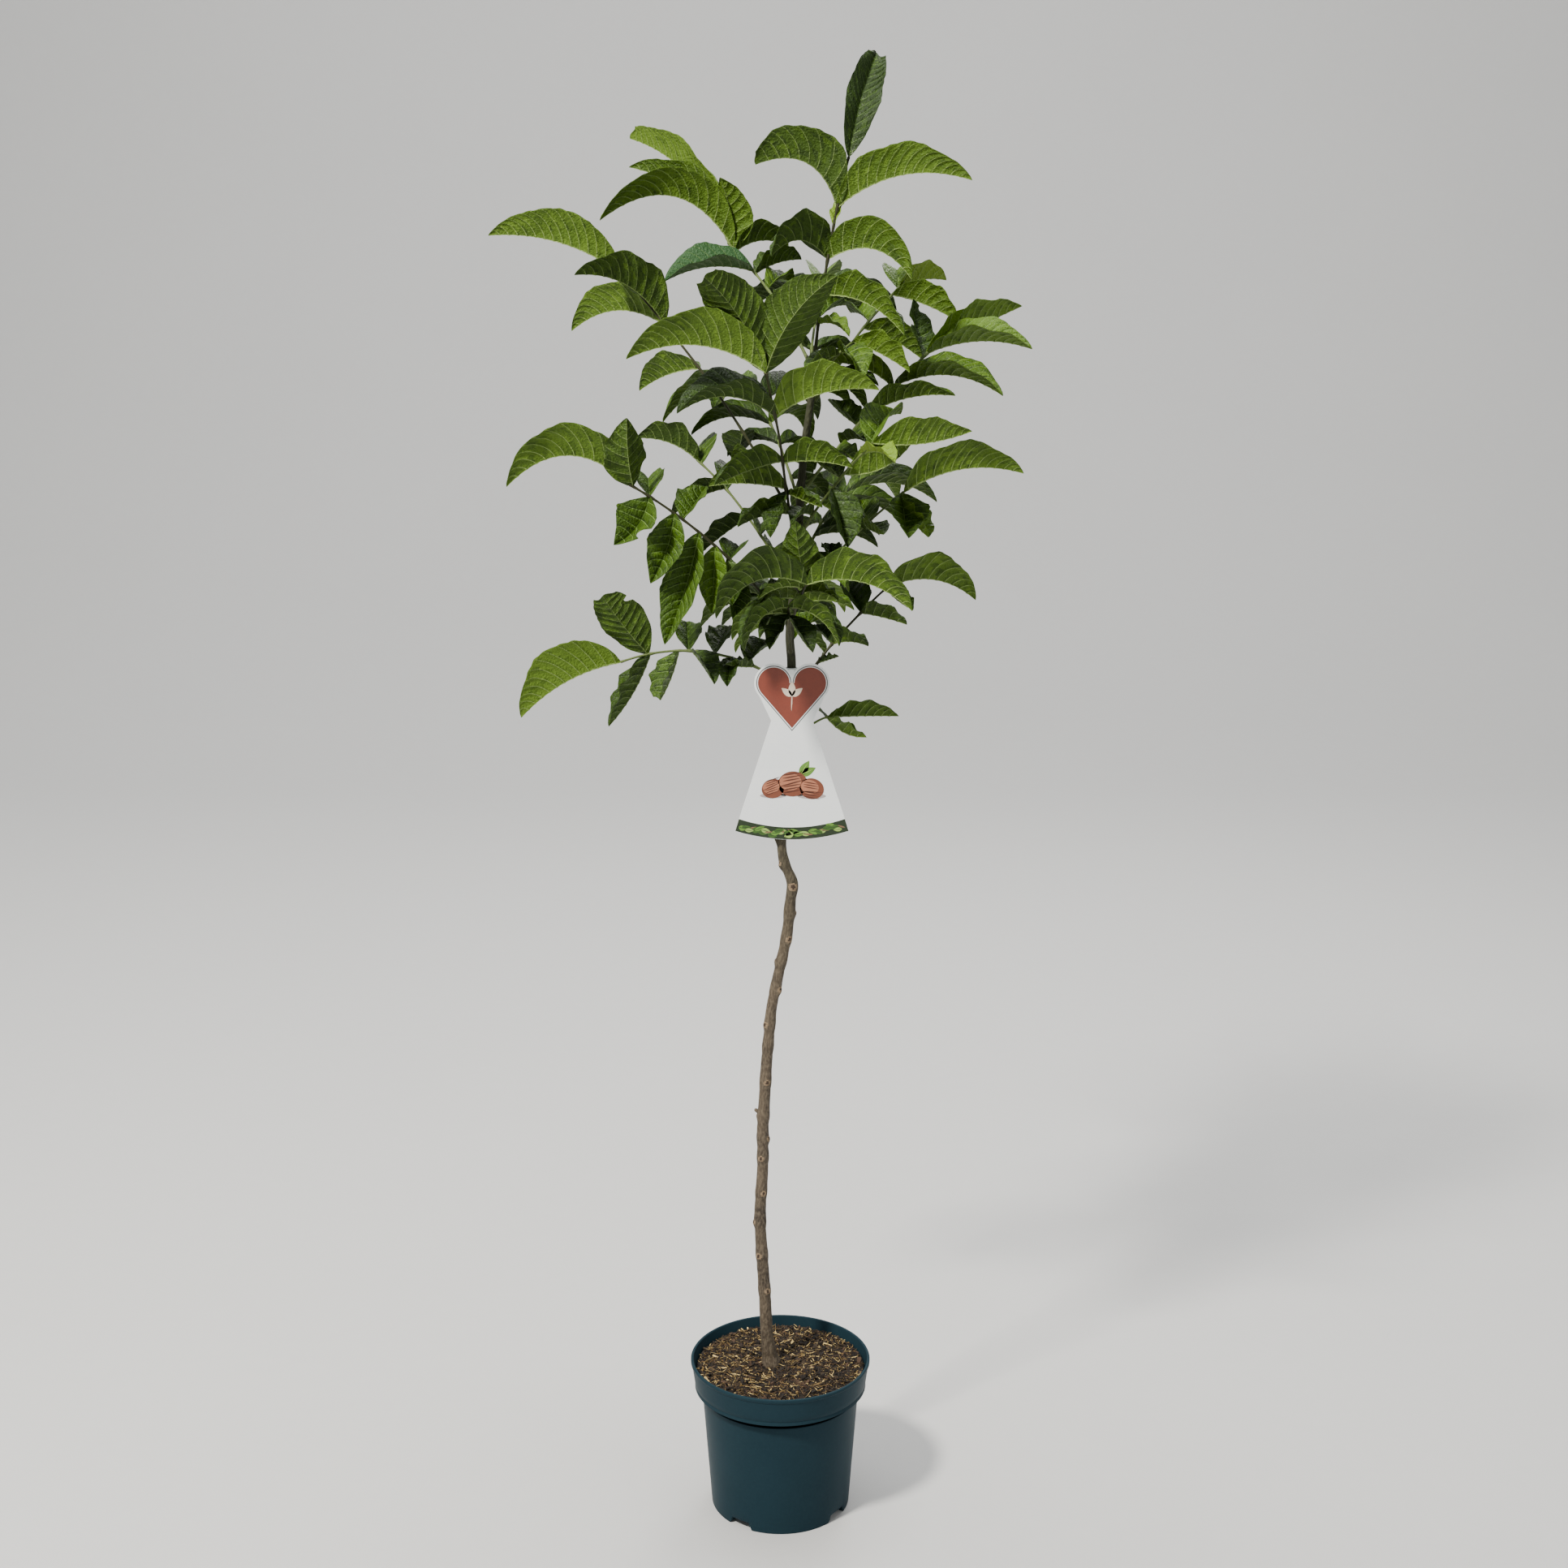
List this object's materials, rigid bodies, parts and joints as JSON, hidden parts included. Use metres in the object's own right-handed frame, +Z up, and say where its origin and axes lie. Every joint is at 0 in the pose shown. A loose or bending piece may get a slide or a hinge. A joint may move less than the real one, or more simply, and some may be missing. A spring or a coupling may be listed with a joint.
{
  "type": "potted walnut tree",
  "caption": "Young walnut tree in a plastic nursery pot: one slender trunk, long compound leaves and a hanging picture tag.",
  "frame": {"origin": "centre of the pot's flat underside, on the surface it stands on", "axes": "+Z up along the trunk, -Y towards the front of the tree, +X towards its right side"},
  "size_m": [0.5996, 0.4328, 1.702],
  "materials": {
    "pot": "dark teal grey moulded plastic, glossy with light scuffs",
    "soil": "coarse bark and coir potting mix",
    "bark": "grey brown young bark with leaf scars, greener towards the tip",
    "tag": null,
    "foliage": "smooth green leaflets with pale veins, lighter undersides"
  },
  "bodies": {
    "root": {"pot": "pot", "soil": "soil", "trunk": "bark", "tag": "tag", "leaf_top": "foliage", "leaf_upper_back": "foliage", "leaf_upper_left": "foliage", "leaf_front": "foliage", "leaf_mid_left": "foliage", "leaf_low_left": "foliage", "leaf_low_right": "foliage", "leaf_mid_right": "foliage", "leaf_upper_right": "foliage", "leaf_right": "foliage", "leaf_upper_back_right": "foliage", "leaf_top_right": "foliage", "leaf_low_front": "foliage", "leaf_low_front_small": "foliage", "leaf_lowest_right": "foliage", "leaf_back_left": "foliage", "leaf_back_high": "foliage", "leaf_back_middle": "foliage", "leaf_back_right": "foliage", "leaf_back_low": "foliage"}
  },
  "joints": []
}
